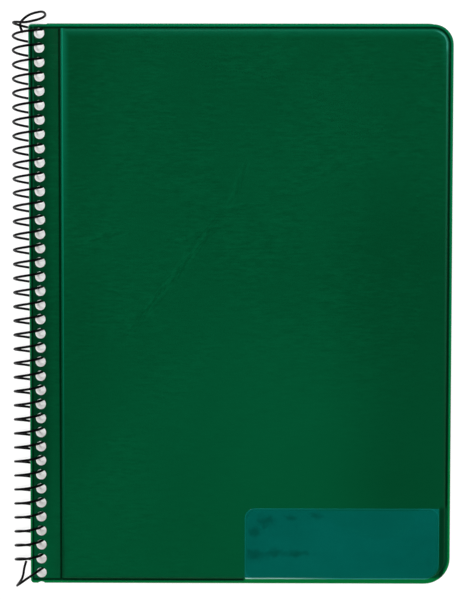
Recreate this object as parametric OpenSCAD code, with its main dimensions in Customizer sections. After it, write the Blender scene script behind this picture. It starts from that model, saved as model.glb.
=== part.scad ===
// Coil-bound stamp album lying closed on a table, front cover up.
// +X runs from the coil to the fore edge, +Y up the page, +Z away from the table.
// The origin is the middle of the front cover's outline, on the table.

/* [Covers] */
// Width of a cover, from its binding edge to its fore edge
cover_w = 188.5; // [150:0.5:240]
// Height of a cover
cover_h = 250; // [245:0.5:300]
// Radius of the fore edge's upper corner
upper_corner_r = 9; // [4:0.5:14]
// Radius of the fore edge's lower corner
lower_corner_r = 11.5; // [4:0.5:14]
// Radius of the two corners beside the coil
spine_corner_r = 1.5; // [0.5:0.5:3]
// Thickness of one vinyl film of a cover
film_t = 0.35; // [0.25:0.05:0.6]
// Thickness of the stiff board inside a cover
board_t = 2; // [1:0.1:3]
// Width of the flat weld that runs round the cover's edge
weld_w = 2.2; // [1.5:0.1:4]
// Distance from the binding edge to the middle of the folding groove
fold_x = 13.4; // [11:0.1:20]
// Width of the folding groove
fold_w = 1.6; // [1:0.1:3]
// Depth of the folding groove
groove_depth = 0.15; // [0.05:0.05:0.2]
// Play between the board and the films around it
board_play = 0.5; // [0.2:0.1:1]
// How far the padded panel's edges slope inwards as they rise
panel_slope = 0.9; // [0.4:0.1:1.5]

/* [Label pocket] */
// Width of the clear pocket at the fore edge's lower corner
pocket_w = 90; // [40:1:120]
// Height of the clear pocket
pocket_h = 32.2; // [20:0.1:60]
// Thickness of the pocket's film
pocket_t = 0.2; // [0.15:0.05:0.4]
// Radius of the pocket's upper corner
pocket_r = 4.5; // [2:0.5:10]

/* [Leaves] */
// Number of leaves
leaf_count = 8; // [1:1:8]
// Distance between the middles of two leaves
leaf_pitch = 0.85; // [0.8:0.05:1]
// Thickness of a leaf's sheet
sheet_t = 0.25; // [0.15:0.05:0.3]
// Thickness of one pocket strip
strip_t = 0.1; // [0.05:0.05:0.12]
// Number of pocket strips on each side of a leaf
strip_rows = 7; // [3:1:9]
// Height of one pocket strip
strip_h = 31; // [15:1:32]
// Distance from one strip's lower edge to the next one's
strip_pitch = 34; // [33:0.5:35]
// Distance from the leaf's fore edge to the strips
strip_edge = 4; // [3:0.5:10]
// Distance from the middles of the holes to the strips
strip_start = 9; // [7:0.5:20]
// How far a leaf stays inside the cover at the top and at the bottom
leaf_inset_y = 1; // [0.5:0.1:1.2]
// How much shorter a leaf is than the cover at the fore edge
leaf_inset_x = 7; // [4:0.5:12]
// Radius of a leaf's fore-edge corners
leaf_corner_r = 5; // [1:0.5:6]
// Gap between a leaf and a cover
leaf_play = 0.35; // [0.3:0.05:0.8]

/* [Binding] */
// Outer diameter of the coil
coil_d = 14; // [14:0.1:15]
// Diameter of the coil's wire
wire_d = 1.1; // [0.8:0.05:1.1]
// Distance from one hole to the next, and from one turn of the coil to the next
hole_pitch = 6.35; // [6.2:0.05:6.35]
// Diameter of the punched holes
hole_d = 4.65; // [4.6:0.05:4.8]
// Number of holes that the coil passes through
hole_count = 39; // [30:1:39]
// Distance from the cover's upper edge to the middle of its first hole
first_hole = 4; // [3.5:0.1:6]
// Distance from a cover's binding edge to the middles of its holes
hole_edge = 4.8; // [4:0.1:5.4]
// Distance from a leaf's binding edge to the middles of its holes
leaf_hole_edge = 4.9; // [4:0.1:4.9]
// How much further the wire is drawn out at the coil's two ends
end_stretch = 2.2; // [1.5:0.1:3.5]
// Steps in each turn of the coil
coil_steps = 16; // [12:2:20]

/* [Hidden] */
$fn = 48;

// The coil stands on the table, and its wire's middle runs at coil_r from its axis.
coil_r = (coil_d - wire_d) / 2;
coil_z = coil_d / 2;

// Heights of the stack, from the table up
cover_t = 2 * film_t + board_t;
leaf_t = sheet_t + 2 * strip_t;
first_leaf_z = cover_t + leaf_play + leaf_t / 2;
top_leaf_z = first_leaf_z + (leaf_count - 1) * leaf_pitch;
front_z = top_leaf_z + leaf_t / 2 + leaf_play;

// Where each sheet's tongue crosses the coil's circle
front_tongue_z = front_z + film_t;
back_tongue_z = cover_t - film_t;
coil_x = -cover_w / 2 + hole_edge - reach(front_tongue_z);

// A sheet turned over to the left meets the wire half a turn on, so each
// sheet's holes lie a quarter of a pitch below the wire before it is turned.
// The back cover stays where it is, so the wire runs through the middle of its holes.
wire_lead = hole_pitch / 4;

// The coil's wire runs from coil_start to coil_end, as angles round its axis.
// It hooks back above the covers at its upper end, and leaves the last hole at last_hold.
coil_start = -495;
top_loop = -360;
last_hold = (hole_count - 1) * 360 + 235;
coil_end = (hole_count - 1) * 360 + 330;
hook_fall = 4.5;
end_swell = 0.9;
wire_sides = 6;

// A leaf's height, and where it ends at the fore edge
leaf_h = cover_h - 2 * leaf_inset_y;
function leaf_end_x(z) = hole_x(z) - hole_edge + cover_w - leaf_inset_x;

// Distance from the coil's axis at which the wire crosses the height z
function reach(z) = sqrt(coil_r * coil_r - (z - coil_z) * (z - coil_z));
// Angle round the coil's axis at which the wire crosses the height z
function climb(z) = asin((z - coil_z) / coil_r);
// Middle of the holes at the height z, across the page
function hole_x(z) = coil_x + reach(z);
// How far a sheet at the height z is shifted up the page to meet the sloping wire
function shear_y(z) = hole_pitch * (climb(front_tongue_z) - climb(z)) / 360;
// Middle of hole number i of a sheet at the height z, up the page
function hole_y(z, i) = cover_h / 2 - first_hole - i * hole_pitch + shear_y(z);
// Height of leaf k, counted from the front
function leaf_z(k) = top_leaf_z - (k - 1) * leaf_pitch;

// An outline from x0 to x1 and y0 to y1, with the radius rs on both left corners,
// rl on the lower right one and ru on the upper right one
module page_outline(x0, x1, y0, y1, rs, rl, ru) {
    hull() {
        translate([x0 + rs, y0 + rs]) circle(rs);
        translate([x0 + rs, y1 - rs]) circle(rs);
        translate([x1 - rl, y0 + rl]) circle(rl);
        translate([x1 - ru, y1 - ru]) circle(ru);
    }
}

// The row of count punched holes for a sheet at the height z, lifted up the page by lift
module hole_row(z, count = hole_count, lift = 0) {
    for (i = [0:count - 1])
        translate([hole_x(z), hole_y(z, i) + lift, -1]) cylinder(d = hole_d, h = 2);
}

// A cover's row runs off its lower edge, which cuts one more hole short.
module cover_hole_row(z, up) {
    hole_row(z, hole_count + 1, up > 0 ? 0 : wire_lead);
}

// A cover's whole outline, pulled in by inset on every side
module cover_outline(z, inset = 0) {
    x0 = hole_x(z) - hole_edge;
    page_outline(x0 + inset, x0 + cover_w - inset,
        -cover_h / 2 + shear_y(z) + inset, cover_h / 2 + shear_y(z) - inset,
        max(spine_corner_r - inset, 0.3),
        max(lower_corner_r - inset, 0.5), max(upper_corner_r - inset, 0.5));
}

// The outline of a cover's padded panel, between the folding groove and the weld
module panel_outline(z, inset = 0) {
    x0 = hole_x(z) - hole_edge;
    page_outline(x0 + fold_x + fold_w / 2 + inset, x0 + cover_w - weld_w - inset,
        -cover_h / 2 + shear_y(z) + weld_w + inset, cover_h / 2 + shear_y(z) - weld_w - inset,
        spine_corner_r,
        max(lower_corner_r - weld_w - inset, 0.5), max(upper_corner_r - weld_w - inset, 0.5));
}

// A cover's outer film at the height z of its tongue, raised over the board by up = 1,
// or lowered under it by up = -1. It is welded flat round the edge and along the groove.
module cover_skin(z, up) {
    x0 = hole_x(z) - hole_edge;
    translate([0, 0, z])
        mirror([0, 0, up > 0 ? 0 : 1])
            difference() {
                union() {
                    linear_extrude(film_t) cover_outline(z);
                    hull() {
                        linear_extrude(film_t) panel_outline(z);
                        linear_extrude(film_t + board_t) panel_outline(z, panel_slope);
                    }
                }
                translate([0, 0, -1])
                    linear_extrude(board_t + 1) panel_outline(z, panel_slope + board_play);
                translate([x0 + fold_x - fold_w / 2, -cover_h, film_t - groove_depth])
                    cube([fold_w, 2 * cover_h, 1]);
                cover_hole_row(z, up);
            }
}

// The board inside a cover
module cover_board(z, up) {
    translate([0, 0, z])
        mirror([0, 0, up > 0 ? 0 : 1])
            linear_extrude(board_t) panel_outline(z, panel_slope + 2 * board_play);
}

// A cover's flat inner film, against the leaves
module cover_lining(z, up) {
    translate([0, 0, up > 0 ? z - film_t : z])
        difference() {
            linear_extrude(film_t) cover_outline(z);
            cover_hole_row(z, up);
        }
}

module front_cover_skin() {
    color("darkgreen") cover_skin(front_tongue_z, 1);
}

module front_cover_board() {
    color("tan") cover_board(front_tongue_z, 1);
}

module front_cover_lining() {
    color("seagreen") cover_lining(front_tongue_z, 1);
}

module back_cover_skin() {
    color("darkgreen") cover_skin(back_tongue_z, -1);
}

module back_cover_board() {
    color("tan") cover_board(back_tongue_z, -1);
}

module back_cover_lining() {
    color("seagreen") cover_lining(back_tongue_z, -1);
}

// The clear film of the label pocket, over the panel's lower corner at the fore edge
module label_pocket() {
    x1 = hole_x(front_tongue_z) - hole_edge + cover_w - weld_w;
    y0 = -cover_h / 2 + weld_w;
    color("darkcyan", 0.5)
        translate([0, 0, front_tongue_z + film_t + board_t])
            linear_extrude(pocket_t)
                intersection() {
                    panel_outline(front_tongue_z, panel_slope);
                    page_outline(x1 - pocket_w, x1 + cover_w, y0 - cover_h, y0 + pocket_h,
                        pocket_r, pocket_r, pocket_r);
                }
}

// Leaf k's sheet, with its row of holes
module leaf_sheet(k) {
    z = leaf_z(k);
    color("ivory")
        translate([0, 0, z - sheet_t / 2])
            difference() {
                linear_extrude(sheet_t)
                    page_outline(hole_x(z) - leaf_hole_edge, leaf_end_x(z),
                        -leaf_h / 2 + shear_y(z), leaf_h / 2 + shear_y(z),
                        spine_corner_r, leaf_corner_r, leaf_corner_r);
                hole_row(z);
            }
}

// The pocket strips on one side of leaf k, with their lower faces at the height z0
module leaf_strips(k, z0) {
    z = leaf_z(k);
    x0 = hole_x(z) + strip_start;
    y0 = shear_y(z) - ((strip_rows - 1) * strip_pitch + strip_h) / 2;
    color("lightcyan", 0.6)
        for (row = [0:strip_rows - 1])
            translate([x0, y0 + row * strip_pitch, z0])
                cube([leaf_end_x(z) - strip_edge - x0, strip_h, strip_t]);
}

module leaf_front_strips(k) {
    leaf_strips(k, leaf_z(k) + sheet_t / 2);
}

module leaf_back_strips(k) {
    leaf_strips(k, leaf_z(k) - sheet_t / 2 - strip_t);
}

// A smooth climb from 0 to 1 while v goes from 0 to 1
function ease(v) = v <= 0 ? 0 : v >= 1 ? 1 : v * v * (3 - 2 * v);

// The coil's height up the page at the angle u, counted from the first turn's right side.
// Past both ends of the row of holes the wire is drawn away from the covers.
function coil_y(u) = cover_h / 2 - first_hole + wire_lead
    + hole_pitch * climb(front_tongue_z) / 360 - hole_pitch * max(u, top_loop) / 360
    + end_stretch * ease((-180 - u) / 180)
    - 1.5 * end_stretch * ease((u - last_hold) / (coil_end - last_hold))
    - (u < top_loop ? hook_fall * pow((top_loop - u) / (top_loop - coil_start), 2) : 0);

// The coil's distance from its axis at the angle u, opened a little at its upper end
function coil_reach(u) = coil_r + end_swell * ease((-180 - u) / 180)
    - 2 * end_swell * ease((top_loop - u) / (top_loop - coil_start));

function coil_point(u) =
    [coil_x + coil_reach(u) * cos(u), coil_y(u), coil_z + coil_reach(u) * sin(u)];

// The wire is one tube, swept along the coil with a ring of corners at each step.
module binding_coil() {
    count = ceil((coil_end - coil_start) * coil_steps / 360);
    step = (coil_end - coil_start) / count;
    angles = [for (i = [0:count]) coil_start + i * step];
    rings = [for (u = angles)
        let (ahead = coil_point(u + 1) - coil_point(u - 1),
            along = ahead / norm(ahead),
            side = cross(along, [0, 1, 0]) / norm(cross(along, [0, 1, 0])),
            up = cross(side, along))
        for (c = [0:wire_sides - 1])
            coil_point(u) + wire_d / 2
                * (side * cos(360 * c / wire_sides) + up * sin(360 * c / wire_sides))];
    walls = [for (i = [0:count - 1], c = [0:wire_sides - 1])
        let (n = (c + 1) % wire_sides, a = i * wire_sides, b = a + wire_sides)
        each [[a + c, a + n, b + c], [a + n, b + n, b + c]]];
    first_cap = [for (c = [wire_sides - 1:-1:0]) c];
    last_cap = [for (c = [0:wire_sides - 1]) count * wire_sides + c];
    color("dimgray") polyhedron(rings, concat([first_cap], walls, [last_cap]));
}

front_cover_skin();
front_cover_board();
front_cover_lining();
label_pocket();
for (k = [1:leaf_count]) {
    leaf_sheet(k);
    leaf_front_strips(k);
    leaf_back_strips(k);
}
back_cover_lining();
back_cover_board();
back_cover_skin();
binding_coil();
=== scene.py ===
import math

import bmesh
import bpy
from mathutils import Matrix, Vector, noise


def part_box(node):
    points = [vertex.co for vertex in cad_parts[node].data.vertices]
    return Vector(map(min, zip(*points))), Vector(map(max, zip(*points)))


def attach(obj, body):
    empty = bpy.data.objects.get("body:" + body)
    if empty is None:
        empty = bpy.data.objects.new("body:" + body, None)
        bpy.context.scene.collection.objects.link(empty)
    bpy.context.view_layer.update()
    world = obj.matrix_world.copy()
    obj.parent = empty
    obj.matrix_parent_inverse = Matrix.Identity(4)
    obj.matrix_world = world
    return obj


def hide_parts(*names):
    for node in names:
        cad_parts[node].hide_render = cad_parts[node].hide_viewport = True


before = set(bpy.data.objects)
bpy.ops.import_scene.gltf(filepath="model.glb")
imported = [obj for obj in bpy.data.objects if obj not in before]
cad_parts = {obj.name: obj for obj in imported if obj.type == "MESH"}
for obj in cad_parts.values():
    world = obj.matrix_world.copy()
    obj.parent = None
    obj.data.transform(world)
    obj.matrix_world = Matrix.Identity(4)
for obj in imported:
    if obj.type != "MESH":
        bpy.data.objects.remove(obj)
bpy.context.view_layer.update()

# Sizes are in millimetres, as the album's own drawing gives them, and MM turns them into metres.
MM = 0.001

COVER_W, COVER_H = 188.5, 250.0
LOWER_R, UPPER_R, SPINE_R = 11.5, 9.0, 1.5
FILM = 0.35
BOARD = 2.0
WELD = 2.2
# The weld is narrower along the binding edge, in this share of the rest.
SPINE_WELD = 0.72
FOLD_X = 13.7
HOLE_D, HOLE_PITCH, HOLE_EDGE, FIRST_HOLE, HOLES = 4.65, 6.35, 4.8, 4.0, 40
POCKET_W, POCKET_H, POCKET_T = 90.0, 32.2, 0.2
POCKET_R, POCKET_LOWER_R = 4.5, 6.6
# The pocket's film stops short of the weld by this much at the fore edge and at the lower edge.
POCKET_GAP, POCKET_LIFT = 3.0, 0.25
COIL_X, COIL_Z, COIL_R, WIRE_D = -95.0785, 7.0, 6.45, 1.1
COIL_TOP = 123.103
STRIP_ROWS, STRIP_H, STRIP_PITCH = 7, 31.0, 34.0

# Each cover's left edge, lower edge, tongue height, side that it faces, and its holes' lift
FRONT = dict(x=-94.25, y=-125.0, z=10.15, up=1, lift=0.0, crown=0.14)
BACK = dict(x=-95.4086, y=-123.6707, z=2.35, up=-1, lift=HOLE_PITCH / 4, crown=-0.08)


# --- Camera, light and floor ---------------------------------------------------------------

camera = bpy.data.objects.new("camera", bpy.data.cameras.new("camera"))
camera.matrix_world = (Matrix.Translation(Vector((1.438, 34.04, 681.86)) * MM)
                       @ Matrix.Rotation(0.00137, 4, "Z") @ Matrix.Rotation(0.00553, 4, "Y")
                       @ Matrix.Rotation(-0.0466, 4, "X"))
camera.data.lens = 90.32
camera.data.sensor_width = 36
camera.data.clip_start = 0.01
bpy.context.collection.objects.link(camera)
bpy.context.scene.camera = camera
bpy.context.scene.view_settings.view_transform = "Standard"


def soft_box(name, place, aim, width, power, shine=True):
    """A square area lamp at place, turned towards aim; a screened one gives no shine."""
    lamp = bpy.data.objects.new(name, bpy.data.lights.new(name, "AREA"))
    lamp.data.size = width
    lamp.data.energy = power
    lamp.location = place
    lamp.visible_glossy = shine
    lamp.rotation_euler = (Vector(aim) - Vector(place)).to_track_quat("-Z", "Y").to_euler()
    bpy.context.collection.objects.link(lamp)


soft_box("top_light", (0.0, 0.05, 1.2), (0.0, 0.0, 0.0), 0.22, 10.2, shine=False)
soft_box("key_light", (-0.45, 1.15, 0.75), (0.0, 0.02, 0.0), 0.5, 6.5)
soft_box("side_light", (1.3, 0.2, 0.6), (0.0, 0.0, 0.0), 0.6, 4.0)
soft_box("low_light", (-0.1, -1.3, 0.5), (0.0, 0.0, 0.0), 0.6, 2.4)


# --- Shader maths ----------------------------------------------------------------------------

class Value:
    """A node's output, on which plain arithmetic adds Math nodes."""

    def __init__(self, tree, socket=None):
        self.tree, self.socket = tree, socket

    def node(self, kind, settings=None, sockets=None, out=0):
        """Add any node: its settings first, then the values or links of its sockets."""
        made = self.tree.nodes.new(kind)
        for key, value in (settings or {}).items():
            setattr(made, key, value)
        for key, value in (sockets or {}).items():
            if isinstance(value, Value):
                self.tree.links.new(value.socket, made.inputs[key])
            else:
                made.inputs[key].default_value = value
        return Value(self.tree, made.outputs[out] if len(made.outputs) else None)

    def math(self, operation, *others):
        return self.node("ShaderNodeMath", {"operation": operation},
                         dict(enumerate((self,) + others)))

    def __add__(self, other):
        return self.math("ADD", other)

    def __radd__(self, other):
        return self.math("ADD", other)

    def __sub__(self, other):
        return self.math("SUBTRACT", other)

    def __rsub__(self, other):
        return self.math("MULTIPLY", -1.0).math("ADD", other)

    def __mul__(self, other):
        return self.math("MULTIPLY", other)

    def __rmul__(self, other):
        return self.math("MULTIPLY", other)

    def __truediv__(self, other):
        return self.math("DIVIDE", other)

    def ramp(self, low, high):
        """0 below low, 1 above high, smooth between; low may be the greater."""
        if low > high:
            return 1 - self.ramp(high, low)
        return self.node("ShaderNodeMapRange", {"interpolation_type": "SMOOTHSTEP"},
                         {0: self, 1: low, 2: high, 3: 0.0, 4: 1.0})

    def band(self, middle, half, soft):
        """1 within half of middle, fading to 0 over soft on both sides."""
        return (self - middle).math("ABSOLUTE").ramp(half + soft, half)

    def scaled(self, x, y, z):
        return self.node("ShaderNodeVectorMath", {"operation": "MULTIPLY"},
                         {0: self, 1: (x, y, z)})

    def split(self):
        parts = self.node("ShaderNodeSeparateXYZ", None, {0: self}).socket.node
        return [Value(self.tree, parts.outputs[i]) for i in range(3)]

    def noise(self, scale, detail=2.0, rough=0.5):
        return self.node("ShaderNodeTexNoise", None,
                         {"Vector": self, "Scale": scale, "Detail": detail,
                          "Roughness": rough})

    def blend(self, first, second):
        """first where this is 0, second where it is 1."""
        return self.node("ShaderNodeMix", {"data_type": "RGBA"},
                         {0: self, 6: first, 7: second}, out=2)


def srgb(r, g, b):
    """A colour given as 0 to 255, for a shader's socket."""
    return tuple((c / 255 / 12.92 if c <= 10 else ((c / 255 + 0.055) / 1.055) ** 2.4)
                 for c in (r, g, b)) + (1.0,)


def material(name, **plain):
    """A new material: its Principled shader with the plain sockets set, and its coordinates in mm."""
    made = bpy.data.materials.new(name)
    made.use_nodes = True
    shader = next(n for n in made.node_tree.nodes if n.type == "BSDF_PRINCIPLED")
    for key, value in plain.items():
        shader.inputs[key.replace("_", " ").title().replace("Ior", "IOR")].default_value = value
    start = Value(made.node_tree)
    place = start.node("ShaderNodeTexCoord", out=3).scaled(1000, 1000, 1000)
    return made, shader, place


def feed(shader, socket, value):
    value.tree.links.new(value.socket, shader.inputs[socket])


def bump(shader, height, strength, distance):
    feed(shader, "Normal", height.node("ShaderNodeBump", None, {
        "Strength": strength, "Distance": distance, "Height": height}))


def edge_distance(x, y, left, right, low, high, radius):
    """How far a point lies inside a rounded rectangle, in mm; less than 0 outside."""
    across = (x - (left + right) / 2).math("ABSOLUTE") - ((right - left) / 2 - radius)
    along = (y - (low + high) / 2).math("ABSOLUTE") - ((high - low) / 2 - radius)
    corner = across.math("MAXIMUM", 0.0), along.math("MAXIMUM", 0.0)
    outside = (corner[0] * corner[0] + corner[1] * corner[1]).math("SQRT")
    return radius - outside - across.math("MAXIMUM", along).math("MINIMUM", 0.0)


# --- Mesh making -----------------------------------------------------------------------------

def finish_mesh(bm, name, body, node_names, finish):
    """Turn a bmesh in mm into a piece of the album, in its place."""
    bmesh.ops.remove_doubles(bm, verts=bm.verts, dist=1e-4)
    bmesh.ops.recalc_face_normals(bm, faces=bm.faces)
    bmesh.ops.scale(bm, vec=(MM, MM, MM), verts=bm.verts)
    mesh = bpy.data.meshes.new(name)
    bm.to_mesh(mesh)
    bm.free()
    piece = bpy.data.objects.new(name, mesh)
    bpy.context.collection.objects.link(piece)
    for face in mesh.polygons:
        face.use_smooth = True
    mesh.set_sharp_from_angle(angle=math.radians(50))
    mesh.materials.append(finish)
    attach(piece, body)
    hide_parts(*node_names)
    return piece


def loop_edges(bm, size, z, radii):
    """A rounded rectangle's ring of edges; radii go round from the lower left corner."""
    x0, x1, y0, y1 = size
    before = set(bm.verts)
    corners = [bm.verts.new((x, y, z)) for x, y in ((x0, y0), (x1, y0), (x1, y1), (x0, y1))]
    bm.faces.new(corners)
    for corner, radius in zip(corners, radii):
        bmesh.ops.bevel(bm, geom=[corner], offset=radius, offset_type="OFFSET",
                        segments=10 if radius > 2 else 4, profile=0.5, affect="VERTICES",
                        material=-1)
    ring = [v for v in bm.verts if v not in before]
    edges = list({e for v in ring for e in v.link_edges})
    bmesh.ops.delete(bm, geom=[f for f in bm.faces if all(v in ring for v in f.verts)],
                     context="FACES_ONLY")
    return edges


def slice_faces(bm, faces, place, normal):
    """Cut the faces along a plane; gives all the faces they now make, and the cut's corners."""
    geom = list(set(faces) | {e for f in faces for e in f.edges} | {v for f in faces for v in f.verts})
    cut = bmesh.ops.bisect_plane(bm, geom=geom, dist=1e-5, plane_co=place, plane_no=normal)
    made = {g for g in cut["geom"] if isinstance(g, bmesh.types.BMFace)}
    corners = [g for g in cut["geom_cut"] if isinstance(g, bmesh.types.BMVert)]
    return list({f for f in faces if f.is_valid} | made), corners


def punch(bm, hole_x, hole_ys):
    """Punch round holes through a closed shape."""
    cutter = bmesh.new()
    for y in hole_ys:
        bmesh.ops.create_cone(cutter, cap_ends=True, cap_tris=False, segments=32,
                              radius1=HOLE_D / 2, radius2=HOLE_D / 2, depth=4.0,
                              matrix=Matrix.Translation((hole_x, y, 0.2)))
    pair = []
    for name, shape in (("blank", bm), ("punches", cutter)):
        mesh = bpy.data.meshes.new(name)
        shape.to_mesh(mesh)
        shape.free()
        pair.append(bpy.data.objects.new(name, mesh))
        bpy.context.collection.objects.link(pair[-1])
    blank, punches = pair
    cut = blank.modifiers.new("punch", "BOOLEAN")
    cut.operation, cut.solver, cut.object = "DIFFERENCE", "EXACT", punches
    result = bpy.data.meshes.new_from_object(
        blank.evaluated_get(bpy.context.evaluated_depsgraph_get()))
    for used in pair:
        bpy.data.meshes.remove(used.data)
    punched = bmesh.new()
    punched.from_mesh(result)
    bpy.data.meshes.remove(result)
    return punched


def panel_height(x, y, crown):
    """How far the padded panel's film stands above its flat board, in mm."""
    u, v = (x - 6.0) / 86.0, y / 122.8
    dome = max(1 - u * u, 0) * max(1 - v ** 4, 0)
    swell = noise.noise(Vector((x / 61.0, y / 74.0, 3.7)))
    return dome * (crown + 0.06 * swell)


def outline_sizes(cover, inset):
    return (cover["x"] + inset * SPINE_WELD, cover["x"] + COVER_W - inset,
            cover["y"] + inset, cover["y"] + COVER_H - inset)


def make_cover(name, body, node_names, finish, cover):
    """A cover's outer film: weld bead and groove all round, punched tongue, fold and raised panel."""
    bm = bmesh.new()
    # The welded rim, from its cut edge inwards
    rim = ((0.0, 0.0), (0.0, 0.26), (0.06, 0.38), (0.22, 0.48), (0.45, 0.52), (0.8, 0.47),
           (1.1, 0.36), (1.4, 0.25), (1.6, 0.18), (1.75, 0.17), (1.9, 0.22), (2.05, 0.31),
           (WELD, 0.38))
    rings = [loop_edges(bm, outline_sizes(cover, inset), height,
                        (max(SPINE_R - inset, 0.6), LOWER_R - inset,
                         UPPER_R - inset, max(SPINE_R - inset, 0.6)))
             for inset, height in rim]
    for first, second in zip(rings, rings[1:]):
        bmesh.ops.bridge_loops(bm, edges=first + second)

    # The field inside the weld, pressed in along the fold
    parts = bmesh.ops.contextual_create(bm, geom=rings[-1])["faces"]
    fold = cover["x"] + FOLD_X
    for dx, height in ((-1.3, 0.36), (-0.8, 0.4), (-0.5, 0.33), (-0.25, 0.18), (-0.1, 0.13),
                       (0.1, 0.13), (0.25, 0.18), (0.5, 0.33), (0.8, 0.4)):
        parts, corners = slice_faces(bm, parts, (fold + dx, 0, 0), (1, 0, 0))
        for vert in corners:
            vert.co.z = height
    panel = max(parts, key=lambda f: f.calc_center_median().x)

    # The raised panel: a soft shoulder all round, then a slightly crowned top
    for thick, rise in ((0.08, 0.42), (0.12, 0.42), (0.18, 0.36), (0.27, 0.29), (0.4, 0.21),
                        (0.6, 0.14), (0.9, 0.08), (1.0, 0.0)):
        bmesh.ops.inset_individual(bm, faces=[panel], thickness=thick, depth=0,
                                   use_even_offset=True)
        for vert in panel.verts:
            vert.co.z += rise
    for vert in panel.verts:
        vert.co.z = FILM + BOARD
    x1, y0, y1 = outline_sizes(cover, WELD)[1:]
    parts = [panel]
    # A grid of cuts lets the top follow its crown.
    for k in range(20):
        parts = slice_faces(bm, parts, (fold + 6 + 8.6 * k, 0, 0), (1, 0, 0))[0]
    for k in range(25):
        parts = slice_faces(bm, parts, (0, y0 + 4 + 10.05 * k, 0), (0, 1, 0))[0]
    for vert in {v for f in parts for v in f.verts}:
        if all(f in parts for f in vert.link_faces):
            vert.co.z += panel_height(vert.co.x, vert.co.y, cover["crown"])

    # The underside, with the recess that the board lies in
    # Loops at one height don't bridge, so the recess starts a little up and is pressed flat.
    recess = loop_edges(bm, (fold + 2.0, x1 - 1.2, y0 + 1.2, y1 - 1.2), 0.1, (0.6, 8.1, 5.6, 0.6))
    bmesh.ops.bridge_loops(bm, edges=rings[0] + recess)
    rise = bmesh.ops.extrude_edge_only(bm, edges=recess)["geom"]
    for vert in (g for g in rise if isinstance(g, bmesh.types.BMVert)):
        vert.co.z = BOARD
    bmesh.ops.contextual_create(bm, geom=[g for g in rise if isinstance(g, bmesh.types.BMEdge)
                                          and all(v.co.z == BOARD for v in g.verts)])
    for vert in {v for e in recess for v in e.verts}:
        vert.co.z = 0.0
    bmesh.ops.recalc_face_normals(bm, faces=bm.faces)

    middle = cover["y"] + COVER_H / 2
    bm = punch(bm, cover["x"] + HOLE_EDGE,
               [middle + COVER_H / 2 - FIRST_HOLE - HOLE_PITCH * i + cover["lift"]
                for i in range(HOLES)])
    bmesh.ops.scale(bm, vec=(1, 1, cover["up"]), verts=bm.verts)
    bmesh.ops.translate(bm, vec=(0, 0, cover["z"]), verts=bm.verts)
    return finish_mesh(bm, name, body, node_names, finish)


# --- Vinyl -----------------------------------------------------------------------------------

def creases(place, sheaves):
    """Sheaves of fine creases in the film, from -1 to 1.

    A sheaf has its middle, the way it runs, half its length and width, and its strength.
    """
    total = 0.0
    for x, y, turn, length, width, strength in sheaves:
        own = place.node("ShaderNodeMapping", {"vector_type": "TEXTURE"}, {
            "Vector": place, "Location": (x, y, 0.0), "Rotation": (0.0, 0.0, turn)})
        u, v, w = own.split()
        lines = (own.scaled(0.18, 0.85, 1.0).noise(0.9, 3.0, 0.6) - 0.5) * (4 * strength)
        total = lines * u.band(0.0, length * 0.5, length * 0.6) * v.band(
            0.0, width * 0.3, width * 0.9) + total
    return total


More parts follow.
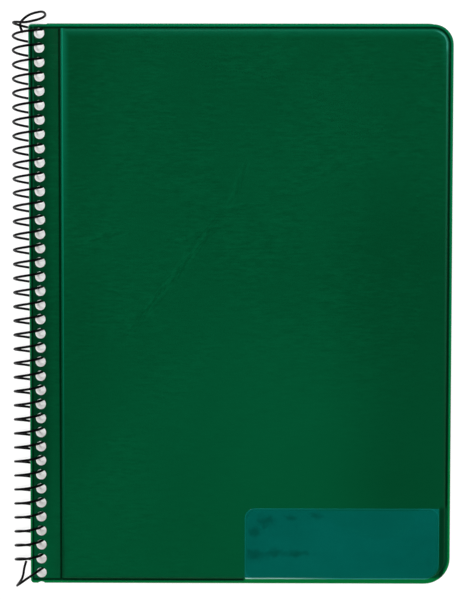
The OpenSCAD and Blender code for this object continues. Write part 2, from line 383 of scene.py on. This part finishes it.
def vinyl(name, cover):
    """Deep green vinyl with a fine leather grain, paler where the film is welded thin, and with painted
    highlights and painted shade.
    """
    made, shader, place = material(name, roughness=0.42, specular_ior_level=0.045)
    x, y, z = place.split()
    left, right, low, high = outline_sizes(cover, 0)
    inward = edge_distance(x, y, left - 30, right, low, high + 40, LOWER_R).math(
        "MINIMUM", edge_distance(x, y, left - 30, right, low - 40, high, UPPER_R)).math(
        "MINIMUM", (x - left) / SPINE_WELD)
    fold = cover["x"] + FOLD_X
    on_panel = inward.ramp(1.6, 2.2)
    padded = on_panel * (x - fold).ramp(0.6, 2.0)

    # The grain runs in fine wrinkles across the page, stronger in some patches than in others.
    cloud = place.noise(0.012, 3.0)
    fine = place.noise(0.9, 3.0, 0.6)
    cells = place.node("ShaderNodeTexVoronoi", {"feature": "DISTANCE_TO_EDGE"},
                       {"Vector": place, "Scale": 0.75, "Randomness": 1.0})
    grain = cells.ramp(0.0, 0.28) * 0.6 + fine * 0.6
    # The film lies smoother towards the lower fore edge.
    rough = 1 - y.ramp(30, -80) * (x.ramp(-60, 10) * 0.65 + 0.15)
    wrinkle = (place.scaled(0.22, 1.0, 1.0).noise(0.9, 4.0, 0.62) - 0.5) * (
        place.noise(0.045, 2.0).ramp(0.35, 0.62) * 0.75 + 0.25) * rough
    crease = creases(place, (
        (-28.0, 15.5, 0.9, 36.0, 3.0, 1.0), (-1.0, 55.0, 1.2, 13.0, 2.6, 0.7),
        (-61.0, 31.0, 0.22, 12.0, 2.4, 0.9), (1.5, 44.6, 0.06, 11.0, 1.6, 0.9),
        (-20.0, 31.6, 0.35, 12.0, 2.4, 0.7), (-46.0, -4.0, 1.05, 12.0, 4.0, 0.4),
        (84.0, 88.0, -0.3, 7.0, 6.0, 0.6), (41.0, 62.0, 0.5, 14.0, 7.0, 0.35))) * padded

    deep, mid = srgb(1, 65, 36), srgb(2, 83, 49)
    # The welded rim is paler partly because its film is thin and partly as a painted highlight on its
    # bead.
    rim_tint_and_highlight = y.ramp(-125, 60).blend(srgb(5, 126, 60), srgb(3, 118, 74))
    # The tone falls towards the top, a painted shade that evens out the key lamp's brighter light there;
    # it is also darker towards the fore edge below the top, and along the binding side above the lower
    # edge.
    tone = (cloud - 0.5) * 0.5 - y * 0.00125 + wrinkle * 1.2 + (fine - 0.5) * rough * 0.25 + 0.55
    tone = tone - x.ramp(30, 72) * y.ramp(100, 0) * 0.34 - x.ramp(-50, -75) * y.ramp(-100, -60) * 0.15
    colour = (tone + crease * 0.5).ramp(0.0, 1.0).blend(deep, mid)
    # Painted shade of the coil: the tongue is darker beside its holes, except near the lower edge.
    painted_coil_shade = (x - left).ramp(11.0, 6.0) * y.ramp(-118, -70) * 0.75
    colour = painted_coil_shade.blend(colour, srgb(2, 48, 26))
    label = y.ramp(-89.0, -91.5) * x.ramp(1.0, 2.5) if cover is FRONT else x * 0.0
    rim = inward.ramp(1.15, 0.7).math("MAXIMUM", label * y.ramp(-122.3, -122.8))
    colour = (rim * (0.55 + cloud * 0.5)).blend(colour, rim_tint_and_highlight)
    # Painted shade in the weld groove and along the fold.
    painted_groove_shade = (inward.band(1.7, 0.2, 0.38) * (1 - label * (y.ramp(-119.5, -121.5) * 0.2 + 0.8))).math(
        "MAXIMUM", (x - fold).math("ABSOLUTE").ramp(0.65, 0.3) * on_panel)
    colour = (painted_groove_shade * 0.9).blend(colour, srgb(0, 24, 8))
    colour = (x.band(90.4, 0.8, 0.5) * label * 0.8).blend(colour, srgb(0, 44, 22))
    # Painted highlights: broad along the panel's top shoulder, thin all round it and brighter towards
    # the top, and beside the fold.
    painted_shoulder_highlight = inward.ramp(6.5, 2.3) * y.ramp(95, 122) * 0.22
    painted_shoulder_highlight = painted_shoulder_highlight.math("MAXIMUM", inward.band(2.8, 0.2, 0.6) * (y * 0.0022 + 0.1))
    painted_shoulder_highlight = painted_shoulder_highlight * padded
    painted_fold_highlight = (x - fold).band(1.3, 0.25, 0.5).math(
        "MAXIMUM", (x - fold).ramp(5.0, 1.3) * (x - fold).ramp(0.9, 1.3) * y.ramp(0, 110) * 0.4)
    painted_shoulder_highlight = painted_shoulder_highlight.math("MAXIMUM", painted_fold_highlight * on_panel * (y * 0.0045 + 0.5))
    colour = painted_shoulder_highlight.blend(colour, srgb(10, 132, 100))
    # Painted highlight: a teal gleam on the shoulder at the upper fore corner, fainter down the fore
    # side.
    corner = inward.band(3.1, 0.1, 0.5) * x.ramp(84.5, 88.5) * (
        y.band(117.5, 2.5, 3.5) * 0.55 + y.ramp(60, 105) * 0.16)
    colour = corner.blend(colour, srgb(60, 156, 136))
    # Painted highlight: a paler line just inside the weld along the binding edge, towards the top.
    colour = ((x - left).band(2.1, 0.08, 0.22) * y.ramp(20, 90) * 0.55).blend(colour, srgb(12, 104, 70))
    feed(shader, "Base Color", colour)
    feed(shader, "Roughness", 0.36 + grain * 0.12 + cloud * 0.08)
    bump(shader, grain * rough * 0.4 + wrinkle * 1.2 + crease * 0.5, 0.5, 0.00016)
    return made


front_vinyl = vinyl("green_vinyl_front", FRONT)
back_vinyl = vinyl("green_vinyl_back", BACK)
make_cover("front_cover", "front_cover", ["front_cover_skin"], front_vinyl, FRONT)
make_cover("back_cover", "back_cover", ["back_cover_skin"], back_vinyl, BACK)


# --- Label pocket ------------------------------------------------------------------------------

def pocket_film():
    """Clear blue film, a little cockled, with a painted shine along its welds and edge."""
    made, shader, place = material("clear_blue_film", roughness=0.2, specular_ior_level=0.35)
    x, y, z = place.split()
    left, right = FRONT["x"] + COVER_W - WELD - POCKET_W, FRONT["x"] + COVER_W - WELD - POCKET_GAP
    low, high = FRONT["y"] + WELD + POCKET_LIFT, FRONT["y"] + WELD + POCKET_H
    inward = edge_distance(x, y, left, right, low, high, POCKET_R)
    cloud = place.noise(0.05, 3.0)
    streak = place.scaled(0.25, 1.4, 1.0).noise(0.22, 4.0, 0.6)
    # A few shapeless smudges
    smear = place.noise(0.45, 3.0, 0.6)
    stain = x * 0.0
    for cx, cy, rx, ry in ((11.4, -96.4, 4.0, 3.0), (34.0, -93.6, 2.8, 1.6), (22.6, -94.8, 2.6, 1.6),
                           (6.5, -101.1, 2.8, 2.2), (7.0, -111.4, 4.0, 2.6), (15.0, -110.9, 4.5, 2.2),
                           (25.0, -111.0, 6.5, 1.7)):
        across, along = (x - cx) / rx, (y - cy) / ry
        reach = (across * across + along * along).math("SQRT") + (smear - 0.5) * 2.6
        stain = stain.math("MAXIMUM", reach.ramp(1.5, 0.1))
    colour = (cloud * 0.7 + streak * 0.3).ramp(0.3, 0.7).blend(srgb(1, 110, 97), srgb(1, 117, 104))
    colour = (stain * 0.6).blend(colour, srgb(0, 66, 52))
    # Painted highlight along the lower hem, near white towards its left end; the hem is also more
    # opaque.
    hem_and_highlight = (y - low).ramp(0.75, 0.3)
    colour = (hem_and_highlight * 0.9).blend(colour, x.ramp(left + 42, left + 12).blend(
        srgb(40, 132, 124), srgb(170, 212, 206)))
    # A painted highlight along the film's edge.
    colour = (inward.band(0.15, 0.15, 0.25) * 0.35).blend(colour, srgb(20, 140, 130))
    feed(shader, "Base Color", colour)
    feed(shader, "Alpha", 0.34 + hem_and_highlight * 0.4 + stain * 0.2 + inward.ramp(0.5, 0.1) * 0.2)
    feed(shader, "Roughness", 0.16 + cloud * 0.2)
    bump(shader, cloud * 0.7 + streak * 0.3, 0.25, 0.0004)
    return made


def make_pocket():
    bm = bmesh.new()
    x1, y0 = FRONT["x"] + COVER_W - WELD, FRONT["y"] + WELD
    size = x1 - POCKET_W, x1 - POCKET_GAP, y0 + POCKET_LIFT, y0 + POCKET_H
    base = FRONT["z"] + FILM + BOARD
    rings = []
    for inset, height in ((0, 0.0), (0, 0.12), (0.06, 0.2), (0.35, 0.24), (0.7, 0.2), (1.0, POCKET_T)):
        rings.append(loop_edges(bm, (size[0] + inset, size[1] - inset, size[2] + inset, size[3] - inset),
                                base + height, (0.6, POCKET_LOWER_R - inset, 0.6, POCKET_R - inset)))
    for first, second in zip(rings, rings[1:]):
        bmesh.ops.bridge_loops(bm, edges=first + second)
    bmesh.ops.contextual_create(bm, geom=rings[0])
    parts = [bmesh.ops.contextual_create(bm, geom=rings[-1])["faces"][0]]
    for k in range(16):
        parts = slice_faces(bm, parts, (size[0] + 4 + 5.4 * k, 0, 0), (1, 0, 0))[0]
    for k in range(6):
        parts = slice_faces(bm, parts, (0, size[2] + 3 + 4.8 * k, 0), (0, 1, 0))[0]
    for vert in {v for f in parts for v in f.verts}:
        if all(f in parts for f in vert.link_faces):
            vert.co.z += 0.07 * noise.noise(vert.co / 13.0) + 0.05
    for vert in bm.verts:
        vert.co.z += panel_height(vert.co.x, vert.co.y, FRONT["crown"]) + 0.01
    return finish_mesh(bm, "label_pocket_film", "front_cover", ["label_pocket"],
                       pocket_film())


make_pocket()


# --- Coil ----------------------------------------------------------------------------------------

def black_wire():
    made, shader, place = material("black_coated_wire", roughness=0.3, specular_ior_level=0.08)
    rub = place.noise(0.35, 3.0)
    feed(shader, "Base Color", rub.ramp(0.35, 0.75).blend(srgb(1, 1, 2), srgb(6, 4, 7)))
    feed(shader, "Roughness", 0.28 + rub * 0.22)
    bump(shader, place.noise(2.2, 2.0), 0.12, 0.0001)
    return made


def make_coil():
    """One wire, wound through the holes, with its two ends bent back into the coil."""
    upper = [(-97.8, 122.3, 2.4), (-98.5, 123.6, 2.3), (-99.0, 125.2, 2.3), (-98.9, 126.6, 2.1),
             (-98.1, 127.9, 1.8), (-96.9, 129.1, 1.5), (-95.3, 130.2, 1.3), (-93.3, 131.0, 1.4),
             (-91.2, 131.4, 2.1), (-89.3, 131.4, 3.6), (-87.9, 130.8, 5.4), (-87.1, 129.6, 7.4),
             (-87.2, 128.5, 9.6), (-88.9, 127.1, 11.9), (-92.1, 126.0, 13.3), (-95.4, 125.4, 13.5),
             (-98.7, 125.7, 12.1), (-100.9, 126.0, 9.2), (-101.3, 125.9, 6.4), (-100.1, 125.7, 3.2),
             (-98.1, 125.3, 1.3)]
    lower = [(-91.2, -119.6, 12.3), (-93.4, -121.0, 13.3), (-95.5, -122.4, 13.4),
             (-98.1, -124.4, 12.3), (-100.2, -126.2, 9.7), (-101.0, -127.1, 6.9),
             (-100.8, -127.0, 4.4), (-100.2, -126.2, 2.5), (-99.5, -124.9, 1.5),
             (-99.0, -123.0, 1.3), (-98.6, -120.7, 1.6), (-98.1, -118.8, 2.1),
             (-97.5, -117.0, 2.5)]
    turns = []
    first, last, step = -90, 38 * 360 + 30, 30
    for k in range((last - first) // step + 1):
        u = first + step * k
        turns.append((COIL_X + COIL_R * math.cos(math.radians(u)), COIL_TOP - HOLE_PITCH * u / 360,
                      COIL_Z + COIL_R * math.sin(math.radians(u))))
    points = upper + turns + lower
    curve = bpy.data.curves.new("coil_path", "CURVE")
    curve.dimensions = "3D"
    curve.bevel_depth = WIRE_D / 2 * MM
    curve.bevel_resolution = 4
    curve.resolution_u = 4
    curve.use_fill_caps = True
    wire = curve.splines.new("BEZIER")
    wire.bezier_points.add(len(points) - 1)
    for knot, point in zip(wire.bezier_points, points):
        knot.co = Vector(point) * MM
        knot.handle_left_type = knot.handle_right_type = "AUTO"
    path = bpy.data.objects.new("coil_path", curve)
    bpy.context.collection.objects.link(path)
    mesh = bpy.data.meshes.new_from_object(
        path.evaluated_get(bpy.context.evaluated_depsgraph_get()))
    bpy.data.objects.remove(path)
    bm = bmesh.new()
    bm.from_mesh(mesh)
    bpy.data.meshes.remove(mesh)
    bmesh.ops.scale(bm, vec=(1 / MM, 1 / MM, 1 / MM), verts=bm.verts)
    return finish_mesh(bm, "coil_wire", "back_cover", ["binding_coil"], black_wire())


make_coil()


# --- Finishes of the leaves, linings and boards -----------------------------------------------

def card():
    """Pale card, with faint fibres."""
    made, shader, place = material("pale_card", roughness=0.75, specular_ior_level=0.3)
    fibre = place.scaled(1.0, 0.35, 1.0).noise(0.8, 4.0, 0.6)
    cloud = place.noise(0.03, 2.0)
    feed(shader, "Base Color", (fibre * 0.6 + cloud * 0.4).ramp(0.3, 0.7).blend(
        srgb(240, 240, 238), srgb(250, 250, 248)))
    feed(shader, "Roughness", 0.7 + fibre * 0.15)
    bump(shader, fibre, 0.2, 0.0001)
    return made


def strip_film():
    """Clear film, milky where it is welded down along a strip's lower edge and ends."""
    made, shader, place = material("clear_strip_film", roughness=0.3, specular_ior_level=0.2)
    u, w, other = place.node("ShaderNodeUVMap", {"uv_map": "film"}).split()
    seam = w.ramp(0.045, 0.025).math("MAXIMUM", (u - 0.5).math("ABSOLUTE").ramp(0.492, 0.495))
    streak = place.scaled(0.1, 1.0, 1.0).noise(0.4, 3.0)
    feed(shader, "Base Color", seam.blend(streak.ramp(0.3, 0.7).blend(
        srgb(206, 220, 224), srgb(224, 234, 236)), srgb(244, 246, 246)))
    feed(shader, "Alpha", 0.1 + streak * 0.06 + seam * 0.35)
    feed(shader, "Roughness", 0.26 + streak * 0.12)
    return made


def make_strips(leaf, side, finish):
    """One side's row of pocket strips: thin film that stands a little off the card."""
    node = "leaf_%d_%s_strips" % (leaf, side)
    low, high = (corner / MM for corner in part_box(node))
    bm = bmesh.new()
    bm.loops.layers.uv.new("film")
    for row in range(STRIP_ROWS):
        grid = bmesh.ops.create_grid(bm, x_segments=12, y_segments=5, size=0.5, calc_uvs=True)
        for vert in grid["verts"]:
            u, w = vert.co.x + 0.5, vert.co.y + 0.5
            free = min(w * 5, 1) * min(u * 8, (1 - u) * 8, 1)
            cockle = noise.noise(Vector((u * 5, w * 2 + row * 3, leaf)))
            vert.co = (low.x + u * (high.x - low.x), low.y + STRIP_PITCH * row + STRIP_H * w,
                       0.025 + free * (0.018 + 0.018 * cockle))
    bmesh.ops.solidify(bm, geom=bm.faces[:], thickness=-0.02)
    up, base = (1, low.z) if side == "front" else (-1, high.z)
    bmesh.ops.scale(bm, vec=(1, 1, up), verts=bm.verts)
    bmesh.ops.translate(bm, vec=(0, 0, base), verts=bm.verts)
    finish_mesh(bm, node + "_film", "leaf_%d" % leaf, [node], finish)


def lining(name, cover):
    """A cover's inner film: smooth, seamed round the board, with a white strip round the holes that is
    painted light for them.
    """
    made, shader, place = material(name, roughness=0.4, specular_ior_level=0.06)
    x, y, z = place.split()
    fine = place.scaled(0.5, 1.0, 1.0).noise(1.3, 3.0)
    cloud = place.noise(0.02, 2.0)
    left, right, low, high = outline_sizes(cover, 0)
    inward = edge_distance(x, y, left - 30, right, low, high, UPPER_R)
    seam = inward.band(3.3, 0.1, 0.45).math("MAXIMUM", (x - left - FOLD_X).band(0.0, 0.15, 0.5))
    colour = (cloud * 0.6 + fine * 0.4).ramp(0.3, 0.7).blend(srgb(2, 80, 46), srgb(3, 92, 55))
    colour = (inward.ramp(3.2, 2.9) * 0.5).blend(colour, srgb(4, 112, 66))
    colour = (seam * 0.75).blend(colour, srgb(0, 38, 18))
    # The white strip, painted light for the holes, ends 8.4 mm from the binding edge.
    feed(shader, "Base Color", (x - left).ramp(8.55, 8.25).blend(
        colour, fine.ramp(0.3, 0.7).blend(srgb(242, 243, 242), srgb(250, 250, 250))))
    feed(shader, "Roughness", 0.34 + fine * 0.14)
    bump(shader, fine * 0.4 - seam, 0.3, 0.0001)
    return made


def greyboard():
    made, shader, place = material("greyboard", roughness=0.9, specular_ior_level=0.2)
    fleck = place.noise(1.1, 5.0, 0.7)
    feed(shader, "Base Color", fleck.ramp(0.35, 0.7).blend(srgb(120, 112, 98), srgb(150, 142, 126)))
    feed(shader, "Roughness", 0.82 + fleck * 0.12)
    bump(shader, fleck, 0.3, 0.0001)
    return made


strip_finish = strip_film()
for leaf in range(1, 9):
    make_strips(leaf, "front", strip_finish)
    make_strips(leaf, "back", strip_finish)

finishes = {"sheet": card(), "board": greyboard(),
            "front_cover_lining": lining("green_lining_front", FRONT),
            "back_cover_lining": lining("green_lining_back", BACK)}
for name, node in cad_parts.items():
    finish = finishes.get(name, finishes.get(name.rsplit("_", 1)[-1]))
    shape = node if hasattr(node, "data") else bpy.data.objects[name]
    if finish:
        shape.data.materials.clear()
        shape.data.materials.append(finish)


# --- Floor and surroundings ---------------------------------------------------------------------

def make_floor():
    bm = bmesh.new()
    bmesh.ops.create_grid(bm, x_segments=1, y_segments=1, size=4.0)
    bmesh.ops.translate(bm, vec=(0, 0, -0.00005), verts=bm.verts)
    mesh = bpy.data.meshes.new("floor")
    bm.to_mesh(mesh)
    bm.free()
    floor = bpy.data.objects.new("floor", mesh)
    bpy.context.collection.objects.link(floor)
    made = bpy.data.materials.new("white_floor")
    made.use_nodes = True
    tree = made.node_tree
    tree.nodes.clear()
    start = Value(tree)
    seen = start.node("ShaderNodeLightPath", out=0)
    mirrored = start.node("ShaderNodeLightPath", out=3)
    through = start.node("ShaderNodeLightPath", out=6)
    shown = seen.math("MAXIMUM", mirrored).math("MAXIMUM", through)
    matt = start.node("ShaderNodeBsdfDiffuse", None, {"Color": (0.8, 0.8, 0.8, 1.0)})
    thin = start.node("ShaderNodeBsdfDiffuse", None, {"Color": (0.25, 0.25, 0.25, 1.0)})
    glow = start.node("ShaderNodeEmission", None, {"Color": (1, 1, 1, 1), "Strength": 0.82})
    lit = start.node("ShaderNodeAddShader", None, {0: thin, 1: glow})
    mixed = shown.node("ShaderNodeMixShader", None, {0: shown, 1: matt, 2: lit})
    mixed.node("ShaderNodeOutputMaterial", None, {"Surface": mixed})
    mesh.materials.append(made)


make_floor()

world = bpy.data.worlds.new("studio")
bpy.context.scene.world = world
world.use_nodes = True
world.node_tree.nodes.clear()
sky = Value(world.node_tree)
height = sky.node("ShaderNodeTexCoord", out=0).split()[2]
tone = height.ramp(0.5, 0.0).blend((0.01, 0.01, 0.01, 1.0), (0.6, 0.6, 0.6, 1.0))
# The far background is as pale as the floor in front of it.
seen = sky.node("ShaderNodeLightPath", out=0).math("MAXIMUM", sky.node("ShaderNodeLightPath", out=6))
tone = seen.blend(tone, (0.84, 0.84, 0.84, 1.0))
glow = tone.node("ShaderNodeBackground", None, {"Color": tone, "Strength": 1.0})
glow.node("ShaderNodeOutputWorld", None, {"Surface": glow})
